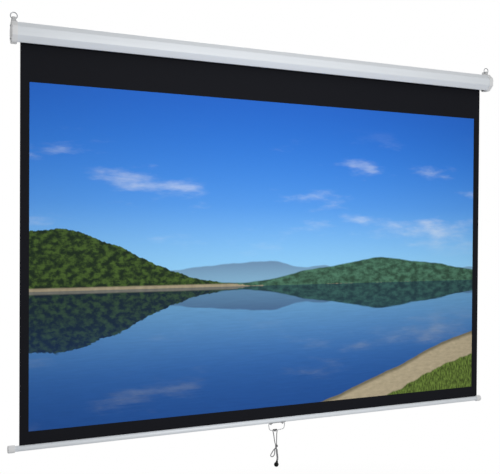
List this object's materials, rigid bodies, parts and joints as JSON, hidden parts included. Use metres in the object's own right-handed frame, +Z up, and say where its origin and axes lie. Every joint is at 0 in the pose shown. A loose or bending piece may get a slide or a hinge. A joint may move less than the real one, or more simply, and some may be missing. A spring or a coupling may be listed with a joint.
{
  "type": "pull down projection screen",
  "caption": "Manual pull down projection screen: octagonal case hung on rings, spring roller with self-lock, black bordered fabric, round bottom bar, wire bail and pull cord with a ball.",
  "frame": {"origin": "midway between the two hanging rings, at the tops of their eyes, where the hooks carry the screen", "axes": "+X to the viewer's right along the case, +Y to the wall behind the screen, +Z up; the picture faces -Y"},
  "size_m": [2.3065, 0.082, 1.872],
  "materials": {
    "white_paint": "satin white paint",
    "white_plastic": "moulded light grey plastic",
    "zinc_steel": "zinc plated",
    "spring_steel": "oiled spring wire",
    "grey_plastic": "moulded grey plastic",
    "nylon": "natural nylon",
    "black_fabric": "matt vinyl coated screen fabric, black border and back, picture area in front",
    "grey_cord": "braided cord",
    "black_gloss_plastic": "polished black"
  },
  "bodies": {
    "case": {"case_tube": "white_paint", "left_end_cap": "white_plastic", "right_end_cap": "white_plastic", "left_cap_screw_upper": "zinc_steel", "left_cap_screw_lower": "zinc_steel", "right_cap_screw_upper": "zinc_steel", "right_cap_screw_lower": "zinc_steel", "left_bearing_plate": "zinc_steel", "right_bearing_plate": "zinc_steel", "idler_bush": "nylon", "spring_shaft": "zinc_steel", "spring_anchor": "zinc_steel", "torsion_spring": "spring_steel", "lock_ratchet": "zinc_steel", "screen_fabric": "black_fabric"},
    "roller": {"roller_tube": "zinc_steel", "fabric_roll": "black_fabric", "idler_plug": "grey_plastic", "idler_pin": "zinc_steel", "lock_plug": "grey_plastic", "upper_pawl_pin": "zinc_steel", "lower_pawl_pin": "zinc_steel"},
    "pawl_upper": {"upper_pawl": "zinc_steel"},
    "pawl_lower": {"lower_pawl": "zinc_steel"},
    "bar": {"bottom_bar": "white_paint", "hem_rod": "grey_plastic", "left_bar_cap": "white_plastic", "right_bar_cap": "white_plastic", "handle_bracket": "zinc_steel", "left_bracket_screw": "zinc_steel", "right_bracket_screw": "zinc_steel"},
    "handle": {"pull_handle": "zinc_steel"},
    "cord": {"pull_cord": "grey_cord", "tie_cord": "grey_cord", "pull_ball": "black_gloss_plastic"},
    "ring_left": {"left_hanging_ring": "zinc_steel"},
    "ring_right": {"right_hanging_ring": "zinc_steel"}
  },
  "joints": [
    {"name": "screen_travel", "type": "slide", "parent": "case", "child": "bar", "axis": [0, 0, 1], "range_m": [0, 1.5268], "deforming": ["screen_fabric"]},
    {"name": "roller_spin", "type": "hinge", "parent": "case", "child": "roller", "pos_m": [0, 0, -0.0731], "axis": [1, 0, 0], "range_deg": [0, 4861]},
    {"name": "upper_pawl_tilt", "type": "hinge", "parent": "roller", "child": "pawl_upper", "pos_m": [-1.1392, 0.014, -0.0571], "axis": [1, 0, 0], "range_deg": [0, 16]},
    {"name": "lower_pawl_tilt", "type": "hinge", "parent": "roller", "child": "pawl_lower", "pos_m": [-1.1392, -0.014, -0.0891], "axis": [1, 0, 0], "range_deg": [0, 16]},
    {"name": "handle_swing", "type": "hinge", "parent": "bar", "child": "handle", "pos_m": [-0.0122, 0.0167, -1.6758], "axis": [1, 0, 0], "range_deg": [-80, 80]},
    {"name": "cord_swing", "type": "hinge", "parent": "handle", "child": "cord", "pos_m": [-0.0202, 0.0167, -1.7042], "axis": [1, 0, 0], "range_deg": [-60, 60]},
    {"name": "left_ring_swing", "type": "hinge", "parent": "case", "child": "ring_left", "pos_m": [-1.13725, 0, -0.0216], "axis": [1, 0, 0], "range_deg": [-58, 90]},
    {"name": "right_ring_swing", "type": "hinge", "parent": "case", "child": "ring_right", "pos_m": [1.13725, 0, -0.0216], "axis": [1, 0, 0], "range_deg": [-58, 90]}
  ],
  "couplings": [
    {"joint": "roller_spin", "follows": "screen_travel", "rad_per_m": 55.556}
  ]
}
